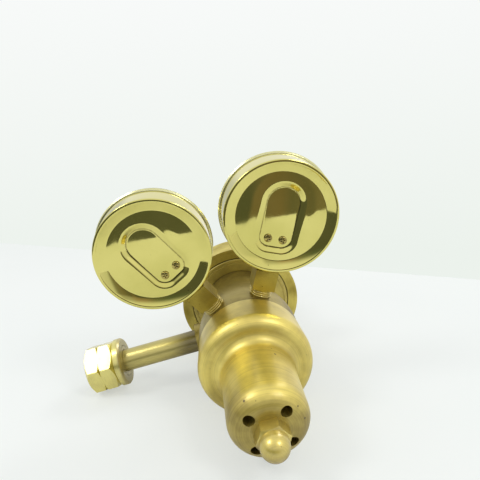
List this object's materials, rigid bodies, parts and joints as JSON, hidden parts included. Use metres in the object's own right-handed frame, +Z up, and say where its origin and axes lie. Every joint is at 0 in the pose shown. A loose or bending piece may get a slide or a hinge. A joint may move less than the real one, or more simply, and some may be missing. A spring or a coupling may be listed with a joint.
{
  "type": "gas_pressure_regulator",
  "caption": "Brass pressure regulator for a gas cylinder: bell-shaped spring bonnets, a side inlet tube with a notched hex nut, and round dial gauges on square stems",
  "frame": {"origin": "middle of the footprint box, on the surface that the regulator lies on", "axes": "X right with the inlet nut at -X; Y from the rear acorn nut towards the adjusting screw; Z up"},
  "size_m": [0.1643, 0.2539, 0.1568],
  "materials": {
    "body_brass": "brushed, slightly dulled",
    "bonnet_brass": "satin spun brass",
    "ring_brass": "satin, with an oxidised brown film",
    "tube_brass": "satin drawn tube",
    "nut_brass": "machined, semi-bright",
    "plain_brass": "as turned",
    "steel": "bright turned steel",
    "rubber": "matt black",
    "sintered_bronze": "sintered, porous",
    "case_brass": "mirror polished, lacquered",
    "bezel_brass": "fine knurled",
    "lens_glass": "clear flat glass",
    "dial_white": "satin white enamel",
    "pointer_black": "satin black",
    "stem_brass": "drawn square bar, bright",
    "movement_brass": "stamped and cut, bright",
    "screw_steel": "slotted brass-plated screws"
  },
  "bodies": {
    "regulator": {"regulator_body": "body_brass", "rear_bonnet": "bonnet_brass", "rear_cap_nut": "bonnet_brass", "rear_preset_screw": "steel", "rear_spring_button": "steel", "rear_range_spring": "steel", "rear_diaphragm": "rubber", "rear_slip_ring": "steel", "first_stage_nozzle": "plain_brass", "first_stage_valve_spring": "steel", "inlet_nipple": "tube_brass", "inlet_filter": "sintered_bronze", "front_clamp_ring": "ring_brass", "front_bonnet": "bonnet_brass", "front_range_spring": "steel", "front_diaphragm": "rubber", "front_slip_ring": "steel", "second_stage_nozzle": "plain_brass", "second_stage_valve_spring": "steel", "outlet_fitting": "tube_brass", "left_case": "case_brass", "left_bezel": "bezel_brass", "left_lens": "lens_glass", "left_dial": "dial_white", "left_socket": "stem_brass", "left_bourdon_tube": "movement_brass", "left_movement_frame": "movement_brass", "left_hairspring": "movement_brass", "left_back_screws": "screw_steel", "right_case": "case_brass", "right_bezel": "bezel_brass", "right_lens": "lens_glass", "right_dial": "dial_white", "right_socket": "stem_brass", "right_bourdon_tube": "movement_brass", "right_movement_frame": "movement_brass", "right_hairspring": "movement_brass", "right_back_screws": "screw_steel"},
    "nut_carrier": {"nut_washer": "plain_brass"},
    "inlet_nut": {"inlet_nut": "nut_brass"},
    "first_stage_valve": {"first_stage_stem": "steel", "rear_diaphragm_plate": "plain_brass"},
    "second_stage_valve": {"second_stage_stem": "steel", "front_diaphragm_plate": "plain_brass"},
    "spring_button": {"front_spring_button": "steel"},
    "adjusting_screw": {"adjusting_screw": "steel", "tee_bar": "steel"},
    "left_pointer": {"left_pointer": "pointer_black"},
    "left_sector_gear": {"left_sector_gear": "movement_brass"},
    "left_link": {"left_link": "movement_brass"},
    "right_pointer": {"right_pointer": "pointer_black"},
    "right_sector_gear": {"right_sector_gear": "movement_brass"},
    "right_link": {"right_link": "movement_brass"}
  },
  "joints": [
    {"name": "nut_slide", "type": "slide", "parent": "regulator", "child": "nut_carrier", "axis": [0.9755, -0.0238, 0.2189], "range_m": [0, 0.045]},
    {"name": "nut_turn", "type": "hinge", "parent": "nut_carrier", "child": "inlet_nut", "pos_m": [-0.07028, -0.00755, 0.01719], "axis": [-0.9755, 0.0238, -0.2189], "continuous": true},
    {"name": "first_stage_opening", "type": "slide", "parent": "regulator", "child": "first_stage_valve", "axis": [0, 0.9942, 0.1079], "range_m": [0, 0.0008], "stiffness_N_per_m": 2000, "springref_m": -0.001, "deforming": ["rear_diaphragm", "rear_range_spring", "first_stage_valve_spring"]},
    {"name": "second_stage_opening", "type": "slide", "parent": "regulator", "child": "second_stage_valve", "axis": [0, -0.9942, -0.1079], "range_m": [0, 0.0008], "stiffness_N_per_m": 2000, "springref_m": -0.001, "deforming": ["front_diaphragm", "front_range_spring", "second_stage_valve_spring"]},
    {"name": "screw_advance", "type": "slide", "parent": "regulator", "child": "spring_button", "axis": [0, -0.9942, -0.1079], "range_m": [0, 0.00451], "deforming": ["front_range_spring"]},
    {"name": "screw_turn", "type": "hinge", "parent": "spring_button", "child": "adjusting_screw", "pos_m": [0.02687, 0.11933, 0.05302], "axis": [0, -0.9942, -0.1079], "range_deg": [0, 1080]},
    {"name": "left_pointer_turn", "type": "hinge", "parent": "regulator", "child": "left_pointer", "pos_m": [-0.02891, -0.03132, 0.10185], "axis": [0, -0.9942, -0.1079], "range_deg": [0, 270], "stiffness_Nm_per_rad": 0.0005, "springref_deg": -22.92, "deforming": ["left_hairspring", "left_bourdon_tube"]},
    {"name": "left_sector_turn", "type": "hinge", "parent": "regulator", "child": "left_sector_gear", "pos_m": [-0.02636, -0.02953, 0.08534], "axis": [0, 0.9942, 0.1079], "range_deg": [0, 45.01]},
    {"name": "left_link_turn", "type": "hinge", "parent": "left_sector_gear", "child": "left_link", "pos_m": [-0.02454, -0.02891, 0.07966], "axis": [0, 0.9942, 0.1079], "range_deg": [-45.01, 0]},
    {"name": "right_pointer_turn", "type": "hinge", "parent": "regulator", "child": "right_pointer", "pos_m": [0.04651, -0.03331, 0.12016], "axis": [0, -0.9942, -0.1079], "range_deg": [0, 270], "stiffness_Nm_per_rad": 0.0005, "springref_deg": -22.92, "deforming": ["right_hairspring", "right_bourdon_tube"]},
    {"name": "right_sector_turn", "type": "hinge", "parent": "regulator", "child": "right_sector_gear", "pos_m": [0.03457, -0.03203, 0.10841], "axis": [0, 0.9942, 0.1079], "range_deg": [0, 45.01]},
    {"name": "right_link_turn", "type": "hinge", "parent": "right_sector_gear", "child": "right_link", "pos_m": [0.03101, -0.03151, 0.10361], "axis": [0, 0.9942, 0.1079], "range_deg": [-45.01, 0]}
  ],
  "couplings": [
    {"joint": "screw_advance", "follows": "screw_turn", "m_per_rad": 0.00023873},
    {"joint": "left_sector_turn", "follows": "left_pointer_turn", "ratio": 0.16667},
    {"joint": "left_link_turn", "follows": "left_pointer_turn", "ratio": -0.16667},
    {"joint": "right_sector_turn", "follows": "right_pointer_turn", "ratio": 0.16667},
    {"joint": "right_link_turn", "follows": "right_pointer_turn", "ratio": -0.16667}
  ]
}
